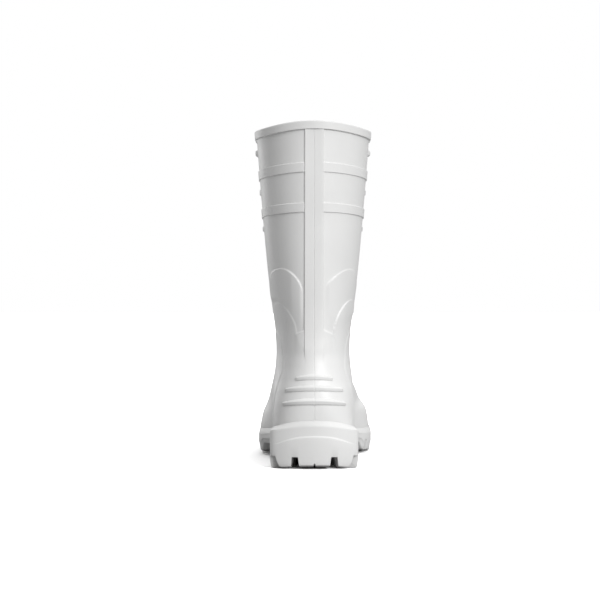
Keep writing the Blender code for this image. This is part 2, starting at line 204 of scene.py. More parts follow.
LOW_LINES = (
    LowLine(1.6, 3.2, 3.2, 0.0, 0.0, 0.0, 1.0),
    LowLine(0.9, 2.0, 2.2, 0.3, 0.5, 0.5, 1.0),
    LowLine(0.7, 1.3, 1.7, 0.9, 1.4, 1.4, 1.0),
    LowLine(0.5, 0.8, 1.2, 4.4, 4.4, 4.8, 0.36),
    LowLine(0.4, 0.4, 0.9, 7.4, 7.4, 7.4, 0.43),
)


class PlateLine(NamedTuple):
    """A line of the step at the top of the heel plate: its share of the plate's stand, and its rise."""
    share: float
    rise: float


PLATE_LINES = (
    PlateLine(1.0, -2.4),
    PlateLine(1.0, -1.2),
    PlateLine(0.9, -0.9),
    PlateLine(0.45, -0.4),
    PlateLine(0.08, -0.05),
    PlateLine(0.0, 0.15),
    PlateLine(0.0, 1.2),
)


class Ring(NamedTuple):
    """One ring of the upper, from its back point round both sides to its front point."""
    back_z: float
    back_y: float
    front_y: float
    front_z: float
    follow: float       # share of the sole's line that it keeps to between its ends
    dip: float          # how it sinks on its way from the back to the sides
    heel: float         # half widths, at the heel and on either side of waist and ball
    waist_out: float
    waist_in: float
    ball_out: float
    ball_in: float
    back_cap: float     # lengths of its rounded ends
    front_cap: float
    back_shape: float   # 2 for a round back, more for a squarer one
    toe_x: float        # how far the toe turns to the inner side


RINGS = (
    Ring(28.3, 3.8, 308.6, 24.7, 1.00, 0.0, 40.5, 37.5, 31.5, 56.2, 61.5, 44, 88, 2.4, 6.0),
    Ring(44.0, 3.2, 310.8, 36.0, 1.00, 0.0, 41.5, 39.5, 35.5, 57.2, 62.6, 45, 88, 2.4, 6.0),
    Ring(54.0, 2.8, 308.0, 52.0, 0.85, 0.0, 41.6, 41.0, 39.0, 54.6, 60.2, 46, 84, 2.3, 6.0),
    Ring(64.0, 3.2, 296.0, 63.5, 0.65, 0.0, 41.4, 42.0, 41.4, 48.8, 51.4, 48, 82, 2.2, 5.5),
    Ring(74.0, 4.8, 272.0, 70.5, 0.45, 0.0, 41.0, 42.0, 43.4, 45.5, 48.0, 52, 92, 2.1, 4.5),
    Ring(86.0, 8.2, 240.0, 79.0, 0.30, 0.0, 39.7, 40.6, 42.4, 43.0, 44.5, 56, 96, 2.0, 3.0),
    Ring(98.0, 11.6, 207.0, 92.5, 0.15, 0.0, 38.4, 39.0, 39.8, 41.0, 41.0, 60, 90, 2.0, 1.5),
    Ring(112.0, 14.2, 178.0, 111.0, 0.05, 0.0, 37.7, 38.0, 38.2, 40.0, 40.0, 62, 78, 2.0, 0.5),
    Ring(130.0, 15.2, 158.0, 130.0, 0.00, 0.0, 38.6, 38.6, 38.6, 39.0, 39.0, 64, 70, 2.0, 0.0),
    Ring(155.0, 15.0, 147.5, 152.0, 0.00, 0.0, 41.7, 41.7, 41.7, 41.7, 41.7, 65, 66, 2.0, 0.0),
    Ring(190.0, 13.6, 143.5, 186.0, 0.00, 0.0, 46.2, 46.2, 46.2, 46.2, 46.2, 65, 64, 2.0, 0.0),
    Ring(235.0, 11.2, 144.5, 229.5, 0.00, 0.65, 50.5, 50.5, 50.5, 50.5, 50.5, 66, 66, 2.0, 0.0),
    Ring(285.0, 8.8, 148.0, 278.0, 0.00, 5.8, 54.6, 54.6, 54.6, 54.6, 54.6, 68, 70, 2.0, 0.0),
    Ring(344.7, 6.2, 152.0, 338.2, 0.00, 21.5, 59.2, 59.2, 59.2, 59.2, 59.2, 70, 74, 2.0, 0.0),
)
FOOT_Z = RINGS[0].back_z
TOP_Z = RINGS[-1].back_z


class Band(NamedTuple):
    """A raised band right round the leg, by the heights of its edges at the back."""
    low: float
    high: float
    proud: float


LEG_BANDS = (
    Band(253.0, 262.2, 1.1),
    Band(293.2, 302.7, 1.1),
)
COLLAR = Band(336.1, 360.0, 1.9)    # its upper edge is above the rim, so it runs up to the rim
BAND_RUN = 0.5
BAND_EDGE_ROWS = (-1.2, -0.55, -0.3, -0.1, 0.1, 0.3, 0.55, 1.2)


class HeelRib(NamedTuple):
    """A kick-off rib across the back of the heel."""
    low: float
    high: float
    half_length: float
    proud: float
    end_rise: float     # of its lower edge at either end


HEEL_RIBS = (
    HeelRib(59.4, 66.4, 31.7, 2.5, 1.6),
    HeelRib(73.0, 79.2, 29.0, 2.3, 0.6),
    HeelRib(84.2, 89.8, 18.5, 2.1, -0.3),
)
RIB_END = 2.2
RIB_DROP = 2.0          # of a rib's upper edge at either end


class RibLine(NamedTuple):
    """How far a heel rib rises, as a share of its most, at a share of its height."""
    share: float
    rise: float


RIB_LINES = (
    RibLine(0.0, 0.0),
    RibLine(0.12, 0.57),
    RibLine(0.22, 0.66),
    RibLine(0.6, 1.0),
    RibLine(0.72, 0.86),
    RibLine(1.0, 0.0),
)


class ShinRib(NamedTuple):
    """A rib round the front of the leg, from side to side. The last of them is the front of the collar."""
    low: float
    high: float
    rear_y: float
    proud: float


SHIN_RIBS = (
    ShinRib(238.8, 246.2, 78.0, 1.8),
    ShinRib(277.4, 285.2, 78.0, 1.8),
    ShinRib(318.6, 326.2, 68.0, 2.5),
    ShinRib(332.6, 360.0, 66.0, 1.4),
)
SHIN_SLOPE = 2.2
SHIN_END = 8.0
SHIN_EDGE_ROWS = (0, 0.2, 0.4, 0.6, 0.8, 1.0)


class Disc(NamedTuple):
    """A low round shield over the ankle: its middle by length round from the back and by height."""
    side: int
    length: float
    z: float
    radius: float
    proud: float
    fade_from: float
    under: float        # 1 for a round lower half, 0 for one that goes straight down
    front: float        # 1 for a round front half, less for one that is drawn out


ANKLE_DISCS = (
    Disc(-1, 40, 168, 28.5, 0.5, 128, 0.0, 0.64),
    Disc(-1, 52.5, 128, 33.5, 0.15, 100, 1.0, 1.0),
    Disc(1, 47, 153, 43.0, 0.5, 128, 1.0, 1.0),
    Disc(1, 56, 131, 34.0, 0.5, 100, 1.0, 1.0),
)
DISC_RUN = 0.7
DISC_LIFT = 4.8         # how a shield's face lifts towards the back
DISC_MOST = 2.4
DISC_FRONT_FADE = 0.2   # share of the radius over which its front half runs out below its middle
DISC_FROM_OUT = 9.6     # where the shields start beside the strip, and over what length they rise
DISC_RISE_OUT = 5.0
DISC_FROM_IN = 11.0
DISC_RISE_IN = 6.0


class PanelLine(NamedTuple):
    """How far round from the back the edge of the ankle panel lies at a height."""
    z: float
    length: float


PANEL_LINES = (
    PanelLine(36, 60),
    PanelLine(52, 60),
    PanelLine(65, 57),
    PanelLine(80, 50),
    PanelLine(96, 43),
    PanelLine(110, 45.7),
)
PANEL_LENGTH = 68.0     # middle and radius of its round top
PANEL_Z = 110.0
PANEL_RADIUS = 22.3
PANEL_PROUD = 0.5
PANEL_RUN = 0.9
PANEL_LOW = 38.0
PANEL_LOW_RUN = 6.0
PANEL_END = 66.0        # where it runs out to the front
PANEL_END_RUN = 30.0

# The counter, whose top shows as a short arc on either side of the strip
COUNTER_TOP = 134.5
COUNTER_FALL = 0.38
COUNTER_PROUD = 0.9
COUNTER_RUN = 1.3
COUNTER_LOW = 106.0
COUNTER_LOW_RUN = 16.0
COUNTER_END = 20.0
COUNTER_END_RUN = 3.0
COUNTER_SOFT_Z = 132.0  # below which its end grows softer
COUNTER_SOFTER = 0.5
COUNTER_SOFTEST = 9.0


class Groove(NamedTuple):
    """A straight groove in the tread, between two places on the floor."""
    from_x: float
    from_y: float
    to_x: float
    to_y: float
    width: float
    height: float = LUG_HEIGHT
    draft: float = LUG_DRAFT


class SideGroove(NamedTuple):
    """A groove cut in from both edges of the sole."""
    inner_x: float
    inner_y: float
    outer_y: float


SIDE_GROOVES = (
    SideGroove(17.5, 15, 13),
    SideGroove(14.5, 39, 39),
    SideGroove(10.5, 65, 65),
    SideGroove(24, 180, 176),
    SideGroove(24, 202, 198),
    SideGroove(23, 224, 220),
    SideGroove(21, 246, 242),
    SideGroove(19, 268, 263),
    SideGroove(16, 288, 283),
)
CHANNELS = (
    Groove(-21.2, -6, -10.5, 66, 6.4),
    Groove(21.2, -6, 10.5, 66, 6.4),
    Groove(-23.5, 146, -17, 293, CHANNEL_WIDTH),
    Groove(25.5, 146, 22, 293, CHANNEL_WIDTH),
)
CENTRE_GROOVES = (
    Groove(-15, 34, 15, 34, CHANNEL_WIDTH),
    Groove(-12, 56, 12, 56, CHANNEL_WIDTH),
    Groove(-23, 169, 25, 169, CHANNEL_WIDTH),
    Groove(-22, 191, 25, 191, CHANNEL_WIDTH),
    Groove(-21, 213, 24, 213, CHANNEL_WIDTH),
    Groove(-20, 235, 24, 235, CHANNEL_WIDTH),
    Groove(-19, 257, 23, 257, CHANNEL_WIDTH),
)
HEEL_NOTCH = (Groove(0, -6, 0, 30, 1.4, 4.8, 0.5),)


class Grid(NamedTuple):
    """Columns round each half of a ring: fixed places across its back and front, and steps between them."""
    back_x: tuple
    back_steps: int
    mid_steps: int
    front_steps: int
    front_x: tuple


PARTING_X = (0, 0.22, 0.45, 0.8)
STRIP_EDGE_X = tuple(STRIP_HALF + x for x in (-1.2, -0.5, -0.2, -0.1, 0, 0.1, 0.3, 0.6, 1.0))
UPPER_GRID = Grid(PARTING_X + (3.0, 5.8) + STRIP_EDGE_X, 68, 12, 22, (3.0,) + PARTING_X[::-1])
SOLE_GRID = Grid((0, 2.5), 24, 60, 24, (2.5, 0))
PLAIN_GRID = Grid((0, 2.5), 20, 18, 20, (2.5, 0))


class Stretch(NamedTuple):
    """A stretch of the upper's wall, and how far apart its rows are."""
    low: float
    high: float
    pitch: float


OUTER_ROWS = (
    Stretch(FOOT_Z, 57, 1.8),
    Stretch(57, 92, 0.5),
    Stretch(92, 126, 1.1),
    Stretch(126, 200, 0.62),
    Stretch(200, 343, 4.0),
)
INNER_ROWS = (
    Stretch(FOOT_Z, 120, 8.0),
    Stretch(130, 336, 16.0),
)
LINING_ROWS = (
    Stretch(LINING_FROM, 120, 3.0),
    Stretch(124, LINING_TO, 6.0),
)
ROW_LEAST = 0.12        # rows closer than this are left out


def mix(first, second, share):
    return first + (second - first) * share


def ease(value):
    value = np.clip(value, 0.0, 1.0)
    return value * value * (3 - 2 * value)


def rise(value, start, run):
    """A rounded slope from 0, at the start, up to 1."""
    return ease((value - start) / run)


def step(value, run):
    """A rounded step up, centred where the value is 0."""
    return ease(value / run + 0.5)


class Curve:
    """A smooth line through one column of a table, which doesn't overshoot its rows."""

    def __init__(self, places, values):
        self.places = np.array(places, float)
        self.values = np.array(values, float)
        rises = np.diff(self.values) / np.diff(self.places)
        before = rises[:-1]
        after = rises[1:]
        same = before * after > 0
        inner = np.where(same, 2 * before * after / np.where(same, before + after, 1.0), 0.0)
        self.slopes = np.concatenate((rises[:1], inner, rises[-1:]))

    def at(self, place):
        place = np.clip(place, self.places[0], self.places[-1])
        i = np.clip(np.searchsorted(self.places, place, side="right"), 1, len(self.places) - 1) - 1
        run = self.places[i + 1] - self.places[i]
        t = (place - self.places[i]) / run
        start = t * (1 - t) ** 2 * run * self.slopes[i]
        end = t * t * (1 - t) * run * self.slopes[i + 1]
        return mix(self.values[i], self.values[i + 1], ease(t)) + start - end


def columns(table):
    """A curve for each column of a table, against its first column."""
    first, *rest = zip(*table)
    return [Curve(first, column) for column in rest]


TREAD_Z, DECK_Z, RIM_LINE_Z, EDGE_Z = columns(SOLE_LINES)
RING_CURVES = columns(RINGS)
PANEL_EDGE, = columns(PANEL_LINES)
RIB_RISE, = columns(RIB_LINES)


def rings_at(heights):
    """Rings at these heights, each field a column with a row for each ring."""
    heights = np.asarray(heights, float)[:, None]
    return Ring(heights, *(curve.at(heights) for curve in RING_CURVES))


def half_width(ring, y, side):
    waist = ring.waist_out if side < 0 else ring.waist_in
    ball = ring.ball_out if side < 0 else ring.ball_in
    ball_y = BALL_OUT_Y if side < 0 else BALL_IN_Y
    behind = mix(ring.heel, waist, rise(y, HEEL_Y, WAIST_Y - HEEL_Y))
    ahead = mix(waist, ball, rise(y, WAIST_Y, ball_y - WAIST_Y))
    return np.where(y < WAIST_Y, behind, ahead)


def ring_z(ring, y):
    """Height along a ring: level between its ends, or keeping to the line of the sole."""
    along = (y - ring.back_y) / (ring.front_y - ring.back_y)
    up = np.clip((ring.back_z - FOOT_Z) / (RIM_Z - FOOT_Z), 0, 1)

    def line(place):
        return mix(DECK_Z.at(place), RIM_LINE_Z.at(place), up)

    sag = line(y) - mix(line(ring.back_y), line(ring.front_y), along)
    reach = np.clip((y - ring.back_y) / (DIP_REACH * ring.back_cap), 0, 1)
    dip = ring.dip * reach * (1 - reach) ** 2
    return mix(ring.back_z, ring.front_z, along) + ring.follow * sag - dip


def stations(ring, grid):
    """Places along each ring from back to front, with their shares of the half width there."""
    back_power = 2 / ring.back_shape
    front_power = 2 / FRONT_SHAPE
    turns = [np.arcsin((x / ring.heel) ** (1 / back_power)) for x in grid.back_x]
    last = turns[-1]
    for k in range(1, grid.back_steps + 1):
        turns.append(mix(last, math.pi / 2, k / grid.back_steps))
    turns = np.hstack(turns)
    back_y = ring.back_y + ring.back_cap * (1 - np.clip(np.cos(turns), 0, 1) ** back_power)
    back_share = np.sin(turns) ** back_power
    mid_share = np.arange(1, grid.mid_steps + 1) / grid.mid_steps
    mid_y = mix(ring.back_y + ring.back_cap, ring.front_y - ring.front_cap, mid_share)
    ends = [np.arcsin((x / ring.ball_out) ** (1 / front_power)) for x in grid.front_x]
    turns = [mix(math.pi / 2, ends[0], k / grid.front_steps) for k in range(1, grid.front_steps)]
    turns = np.hstack(turns + ends)
    front_y = ring.front_y - ring.front_cap * (1 - np.cos(turns) ** front_power)
    front_share = np.sin(turns) ** front_power
    return np.hstack((back_y, mid_y, front_y)), np.hstack((back_share, np.ones_like(mid_y), front_share))


class Wall(NamedTuple):
    """Rings of the upper as rows of points, with outward directions and lengths round from the back."""
    heights: np.ndarray
    points: np.ndarray
    outward: np.ndarray
    length: np.ndarray
    side: np.ndarray

    @property
    def axes(self):
        """The points' x, y and z, each a table of its own."""
        return (self.points[:, :, k] for k in range(3))

    def by_side(self, outer, inner):
        """One value on the outer side of the boot and another on the inner side."""
        return np.where(self.side < 0, outer, inner)


def wall(heights, grid):
    """Each row goes from the back along the outer side to the front, and home along the inner side."""
    ring = rings_at(heights)
    y, share = stations(ring, grid)
    lean = rise(y, WAIST_Y, ring.front_y - WAIST_Y)
    halves = []
    lengths = []
    for side in (-1, 1):
        x = ring.toe_x * lean + side * half_width(ring, y, side) * share
        halves.append(np.stack((x, y, ring_z(ring, y)), axis=2))
        runs = np.hypot(np.diff(x, axis=1), np.diff(y, axis=1))
        lengths.append(np.hstack((np.zeros((len(x), 1)), np.cumsum(runs, axis=1))))
    points = np.concatenate((halves[0], halves[1][:, -2:0:-1]), axis=1)
    length = np.concatenate((lengths[0], lengths[1][:, -2:0:-1]), axis=1)
    count = y.shape[1]
    side = np.concatenate((-np.ones(count), np.ones(count - 2)))[None, :]
    along = np.roll(points, -1, axis=1) - np.roll(points, 1, axis=1)
    up = np.gradient(points, axis=0)
    outward = np.cross(up, along)
    outward /= np.linalg.norm(outward, axis=2, keepdims=True)
    return Wall(ring.back_z, points, outward, length, side)


def ring_points(height, grid):
    """The points of one ring of the upper."""
    return wall((height, height + 1), grid).points[0]


def flat_outward(loop):
    """Outward directions round one loop, level with the floor."""
    along = np.roll(loop, -1, axis=0) - np.roll(loop, 1, axis=0)
    outward = np.stack((-along[:, 1], along[:, 0], np.zeros(len(loop))), axis=1)
    return outward / np.linalg.norm(outward, axis=1, keepdims=True)


def counter_relief(rows):
    """The counter, below a line that falls away from the strip."""
    _, _, z = rows.axes
    top = step(COUNTER_TOP - COUNTER_FALL * (rows.length - STRIP_HALF) - z, COUNTER_RUN)
    soft = np.clip(COUNTER_SOFTER * (COUNTER_SOFT_Z - z), 0, COUNTER_SOFTEST)
    end = rise(rows.length, COUNTER_END - soft, COUNTER_END_RUN + 2 * soft)
    counter = top * rise(z, COUNTER_LOW, COUNTER_LOW_RUN) * (1 - end)
    return COUNTER_PROUD * counter


def shield_relief(rows):
    """The round shields over the ankle, which run out downwards and towards the strip."""
    _, _, z = rows.axes
    from_strip = rise(rows.length, rows.by_side(DISC_FROM_OUT, DISC_FROM_IN),
                      rows.by_side(DISC_RISE_OUT, DISC_RISE_IN))
    shields = np.zeros_like(z)
    for disc in ANKLE_DISCS:
        forward = rows.length - disc.length
        drawn = np.where(forward > 0, disc.front, 1.0) * forward
        away = np.hypot(drawn, np.maximum(z - disc.z, disc.under * (z - disc.z)))
        front_fade = disc.z - DISC_FRONT_FADE * disc.radius
        fade_from = mix(disc.fade_from, front_fade, step(forward, disc.radius))
        fade = rise(z, fade_from, disc.z - fade_from) * from_strip
        back = np.clip(-forward / disc.radius, 0, 1)
        face = np.minimum(1 + DISC_LIFT * back ** 2, DISC_MOST)
        here = disc.proud * face * step(disc.radius - away, DISC_RUN) * fade
        shields += np.where(rows.side == disc.side, here, 0.0)
    return shields


def panel_relief(rows):
    """The ankle panel, with a round top, which runs out to the front."""
    _, _, z = rows.axes
    top = PANEL_RADIUS - np.hypot(rows.length - PANEL_LENGTH, z - PANEL_Z)
    panel = step(np.where(z > PANEL_Z, top, rows.length - PANEL_EDGE.at(z)), PANEL_RUN)
    end = rise(rows.length, PANEL_END, PANEL_END_RUN)
    panel = panel * rise(z, PANEL_LOW, PANEL_LOW_RUN) * (1 - end)
    return PANEL_PROUD * panel


def with_strip(rows, proud):
    """A relief with the strip laid over it, and the groove along the strip's outer edge."""
    h = rows.heights
    x, y, _ = rows.axes
    across = np.abs(x)
    at_back = y < HEEL_Y
    risen = rise(h, STRIP_LOW, STRIP_FADE)
    strip = step(STRIP_HALF - across, rows.by_side(STRIP_RUN_OUT, STRIP_RUN_IN)) * at_back
    face = STRIP_PROUD - STRIP_FLAT * (1 - np.minimum(across / STRIP_HALF, 1) ** 2)
    proud = mix(proud, face * risen, strip * rise(h, STRIP_LOW - STRIP_END_BELOW, STRIP_END_RUN))
    beyond = across - STRIP_HALF - STRIP_LINE_AWAY
    line = 1 - np.clip(np.maximum(beyond / STRIP_LINE_OUT, -beyond / STRIP_LINE_IN), 0, 1)
    deep = mix(STRIP_LINE_DEEPEST, STRIP_LINE_DEPTH, risen)
    line_end = rise(h, STRIP_LOW - STRIP_LINE_BELOW, STRIP_LINE_RUN)
    return proud - deep * ease(rows.by_side(line, 0.0)) * line_end * at_back


def heel_rib_relief(rows, rib):
    h = rows.heights
    x, y, _ = rows.axes
    across = np.abs(x)
    out = np.clip((across - rib.half_length + RIB_END) / RIB_END, 0, 1)
    ends = np.minimum(across / rib.half_length, 1) ** 2
    low = rib.low + rib.end_rise * ends
    high = rib.high - RIB_DROP * ends
    profile = RIB_RISE.at((h - low) / (high - low)) * np.sqrt(1 - out ** 2)
    return rib.proud * profile * (y < HEEL_Y)


def shin_rib_relief(rows, rib):
    h = rows.heights
    _, y, _ = rows.axes
    profile = np.minimum(rise(h, rib.low, SHIN_SLOPE), ease((rib.high - h) / SHIN_SLOPE))
    return rib.proud * profile * rise(y, rib.rear_y, SHIN_END)


def parting_line(rows):
    """Depth of the fine line that the mould leaves down the back and the front, below the collar."""
    x, y, _ = rows.axes
    front = x.shape[1] // 2
    from_back = np.where(y < HEEL_Y, np.abs(x), FAR)
    from_front = np.where(y > WAIST_Y, np.abs(x - x[:, front:front + 1]), FAR)
    middle = np.minimum(from_back, from_front)
    return PARTING_DEPTH * (1 - ease(middle / PARTING_HALF)) * (rows.heights < COLLAR.low)


def relief(rows):
    """How far the outer wall stands out, for its bands, strip, ribs and ankle shields."""
    h = rows.heights
    proud = np.maximum(counter_relief(rows), shield_relief(rows) + panel_relief(rows))
    for band in LEG_BANDS:
        proud = np.maximum(proud, band.proud * step(h - band.low, BAND_RUN) * step(band.high - h, BAND_RUN))
    proud = with_strip(rows, proud)
    proud = np.maximum(proud, COLLAR.proud * step(h - COLLAR.low, BAND_RUN))
    for rib in HEEL_RIBS:
        proud = np.maximum(proud, heel_rib_relief(rows, rib))
    for rib in SHIN_RIBS:
        proud = np.maximum(proud, shin_rib_relief(rows, rib))
    return proud - parting_line(rows)


def rim_round(rows):
    """How far the wall falls back from its face at the rounded rim of the collar."""
    t = np.clip(1 - (TOP_Z - rows.heights) / RIM_ROUND, 0, 1)
    return RIM_ROUND * (1 - np.sqrt(1 - RIM_CLOSE * t * t))


def rim_heights():
    """Rows over the rounded rim, at even turns."""
    turns = (math.pi / 2 * k / RIM_STEPS for k in range(RIM_STEPS + 1))
    return [TOP_Z - RIM_ROUND * (1 - math.sin(turn)) for turn in turns]


def spread(stretches):
    """Heights of rows over these stretches of the wall."""
    heights = []
    for low, high, pitch in stretches:
        steps = max(1, round((high - low) / pitch))
        heights.extend(np.linspace(low, high, steps + 1))
    return heights


def upper_heights():
    """Rows of the outer wall: close over the ribs and at the edge of every step."""
    heights = spread(OUTER_ROWS) + rim_heights()
    for band in LEG_BANDS + (COLLAR,):
        for edge in (band.low, band.high):
            heights.extend(edge + BAND_RUN * k for k in BAND_EDGE_ROWS)
    for rib in SHIN_RIBS:
        for k in SHIN_EDGE_ROWS:
            heights.extend((rib.low + SHIN_SLOPE * k, rib.high - SHIN_SLOPE * k))
    kept = []
    for height in sorted(heights):
        if height <= TOP_Z and (not kept or height - kept[-1] > ROW_LEAST):
            kept.append(height)
    return kept


def ring_mesh(name, loops, closed):
    """A mesh of loops joined in turn, closed into a ring of loops or capped from side to side."""
    count = len(loops)
    size = len(loops[0])
    points = np.concatenate(loops) * MM
    k = np.arange(count if closed else count - 1)[:, None]
    j = np.arange(size)[None, :]
    this = k * size
    above = (k + 1) % count * size
    after = (j + 1) % size
    faces = np.stack((this + after, this + j, above + j, above + after), axis=2).reshape(-1, 4).tolist()
    if not closed:
        top = (count - 1) * size
        for j in range(size // 2):
            near = (size - j) % size
            far = size - j - 1
            faces.append(list(dict.fromkeys((j, j + 1, far, near))))
            faces.append(list(dict.fromkeys((top + near, top + far, top + j + 1, top + j))))
    mesh = bpy.data.meshes.new(name)
    mesh.from_pydata(points.tolist(), [], faces)
    mesh.validate()
    return mesh


def add_object(name, data):
    obj = bpy.data.objects.new(name, data)
    bpy.context.scene.collection.objects.link(obj)
    return obj


def upper_mesh():
    """The upper, from its foot up the outer wall, over the rim and down the inside."""
    outer = wall(upper_heights(), UPPER_GRID)
    stand = relief(outer) - rim_round(outer)
    loops = list(outer.points + outer.outward * stand[:, :, None])
    inner = wall(spread(INNER_ROWS) + rim_heights(), UPPER_GRID)
    depth = WALL - rim_round(inner)
    loops.extend(reversed(list(inner.points - inner.outward * depth[:, :, None])))
    return ring_mesh("boot_upper", loops, closed=True)


def heel_corner(x, y):
    """How far the sole's heel reaches past an even ledge, because its back is flatter than the upper's."""
    heel = rings_at((RIM_Z,))
    away = np.hypot(x, HEEL_Y - y)
    across = np.abs(x) / away
    behind = (HEEL_Y - y) / away
    set_back = HEEL_ARC - (HEEL_Y - heel.back_y[0, 0] + LEDGE)
    to_back = np.sqrt(HEEL_ARC ** 2 - (set_back * across) ** 2) - set_back * behind
    to_side = (heel.heel[0, 0] + LEDGE) / np.maximum(across, HEEL_LEAST)
    reach = (to_back ** -HEEL_SQUARE + to_side ** -HEEL_SQUARE) ** (-1 / HEEL_SQUARE)
    return np.where(y < HEEL_Y, np.maximum(reach - away - LEDGE, 0.0), 0.0)


def sole_loops():
    """Loops of the sole: from the tread up its side, over the rim and down into the cup."""
    rim = ring_points(RIM_Z, SOLE_GRID)
    outward = flat_outward(rim)
    x, y, rim_z = rim.T
    slant = np.where(x < 0, ARCH_SLANT_OUT, ARCH_SLANT_IN) * rise(y, HEEL_Y, WAIST_Y - HEEL_Y)
    lift = HEEL_LIFT * (1 - rise(y, HEEL_Y / 3, HEEL_Y * 2 / 3))
    tread = TREAD_Z.at(y - slant * np.abs(x) - lift * x ** 2)
    edge = EDGE_Z.at(y)
    corners = rise(np.hypot(x, y / 2), CORNER_FROM, CORNER_RUN)
    ball = rise(y, WAIST_Y, BALL_OUT_Y - WAIST_Y)
    draft = BALL_DRAFT * ball * (1 - rise(y, BALL_DRAFT_END, BALL_DRAFT_RUN))
    ledge = LEDGE + heel_corner(x, y) - np.where(x < 0, draft, 0.0)
    squeeze = np.clip((edge - tread) / SIDE_TALL, 0, 1)

    def side_loop(out, z):
        loop = rim + outward * (ledge + out)[:, None]
        loop[:, 2] = z
        return loop

    def by_place(at_back, at_corner, at_ball):
        return mix(mix(at_back, at_corner, corners), at_ball, ball)

    loops = []
    for line in LOW_LINES:
        inset = by_place(line.back_inset, line.corner_inset, line.ball_inset)
        up = by_place(line.back_rise, line.corner_rise, line.ball_rise)
        loops.append(side_loop(-inset, np.minimum(tread + up, mix(tread, edge, line.most))))

    plate = np.clip((HEEL_PLATE_HALF + HEEL_PLATE_FADE - np.abs(x)) / HEEL_PLATE_FADE, 0, 1)
    plate = np.where(y < HEEL_Y, HEEL_PLATE_PROUD * plate, 0.0)
    plate_z = mix(tread, edge, mix(HEEL_PLATE_BACK, HEEL_PLATE_SIDE, rise(y, 0, HEEL_PLATE_TURN)))
    loops.append(side_loop(plate, mix(tread, edge, SIDE_MIDDLE)))
    for line in PLATE_LINES:
        loops.append(side_loop(plate * line.share, plate_z + line.rise * squeeze))

    flush = np.zeros_like(x)
    for up in LEDGE_RISES:
        loops.append(side_loop(flush, edge + up * squeeze))
    loops.append(side_loop(flush - LEDGE_ROUND_IN, edge - LEDGE_ROUND_DOWN))
    for share in LEDGE_SHARES:
        loops.append(side_loop(-share * (ledge - FIT_GAP), mix(edge, rim_z, share)))
    cup = wall((FOOT_Z, CUP_Z, RIM_Z), SOLE_GRID)
    for points, direction in zip(cup.points[::-1], cup.outward[::-1]):
        flat = direction * (1, 1, 0)
        flat /= np.linalg.norm(flat, axis=1, keepdims=True)
        loops.append(points + flat * FIT_GAP)
    loops[-1][:, 2] = DECK_Z.at(loops[-1][:, 1])
    return loops


def groove_cutter(name, grooves):
    """One cutter for grooves that don't cross each other, each wider at the floor than at its root."""
    points = []
    faces = []
    for groove in grooves:
        start = Vector((groove.from_x, groove.from_y, 0))
        end = Vector((groove.to_x, groove.to_y, 0))
        along = (end - start).normalized()
        across = Vector((along.y, -along.x, 0))
        root_z = groove.height + float(TREAD_Z.at((groove.from_y + groove.to_y) / 2))
        below_z = float(TREAD_Z.at(HEEL_Y)) - groove.height
        narrow = groove.width / 2
        wide = narrow + groove.draft * (root_z - below_z) / groove.height
        section = ((-narrow, root_z), (narrow, root_z), (wide, below_z), (-wide, below_z))
        first = len(points)
        for place in (start, end):
            for aside, z in section:
                spot = place + across * aside
                points.append((spot.x * MM, spot.y * MM, z * MM))
        faces.append((first + 3, first + 2, first + 1, first))
        faces.append((first + 4, first + 5, first + 6, first + 7))
        for k in range(4):
            after = (k + 1) % 4
            faces.append((first + k, first + after, first + 4 + after, first + 4 + k))
    mesh = bpy.data.meshes.new(name)
    mesh.from_pydata(points, [], faces)
    return add_object(name, mesh)


def side_grooves():
    grooves = []
    for inner_x, inner_y, outer_y in SIDE_GROOVES:
        for side in (-1, 1):
            grooves.append(Groove(side * inner_x, inner_y, side * GROOVE_OUTER, outer_y, GROOVE_WIDTH))
    return grooves


def sole_mesh():
    """The sole with its grooves cut and the edges of its lugs rounded."""
    block = add_object("sole_block", ring_mesh("sole_block", sole_loops(), closed=False))
    cutters = [groove_cutter("cut_sides", side_grooves()), groove_cutter("cut_channels", CHANNELS),
               groove_cutter("cut_centre", CENTRE_GROOVES), groove_cutter("cut_notch", HEEL_NOTCH)]
    for cutter in cutters:
        cut = block.modifiers.new(cutter.name, "BOOLEAN")
        cut.operation = "DIFFERENCE"
        cut.solver = "EXACT"
        cut.object = cutter
    depsgraph = bpy.context.evaluated_depsgraph_get()
    mesh = bpy.data.meshes.new_from_object(block.evaluated_get(depsgraph))
    mesh.name = "boot_outsole"
    for scrap in cutters + [block]:
        bpy.data.objects.remove(scrap, do_unlink=True)
    shape = bmesh.new()
    shape.from_mesh(mesh)
    bmesh.ops.remove_doubles(shape, verts=shape.verts, dist=MERGE * MM)
    low = [vert for vert in shape.verts if vert.co.z < LUG_HEIGHT * MM]
    flat = [edge for edge in shape.edges if all(vert.co.z < LUG_HEIGHT * MM for vert in edge.verts)]
    bmesh.ops.dissolve_limit(shape, angle_limit=FLAT_ANGLE, verts=low, edges=flat)
    sharp = [edge for edge in shape.edges if edge.is_manifold and edge.calc_face_angle(0) > LUG_EDGE_ANGLE]
    bmesh.ops.bevel(shape, geom=sharp, offset=LUG_EDGE * MM, segments=LUG_EDGE_STEPS, profile=LUG_EDGE_SHAPE,
                    affect="EDGES", clamp_overlap=False)
    for vert in shape.verts:
        vert.co.z = max(vert.co.z, ORIGIN[2] * MM)
    bmesh.ops.triangulate(shape, faces=[face for face in shape.faces if len(face.verts) > 4])
    shape.to_mesh(mesh)
    shape.free()
    return mesh


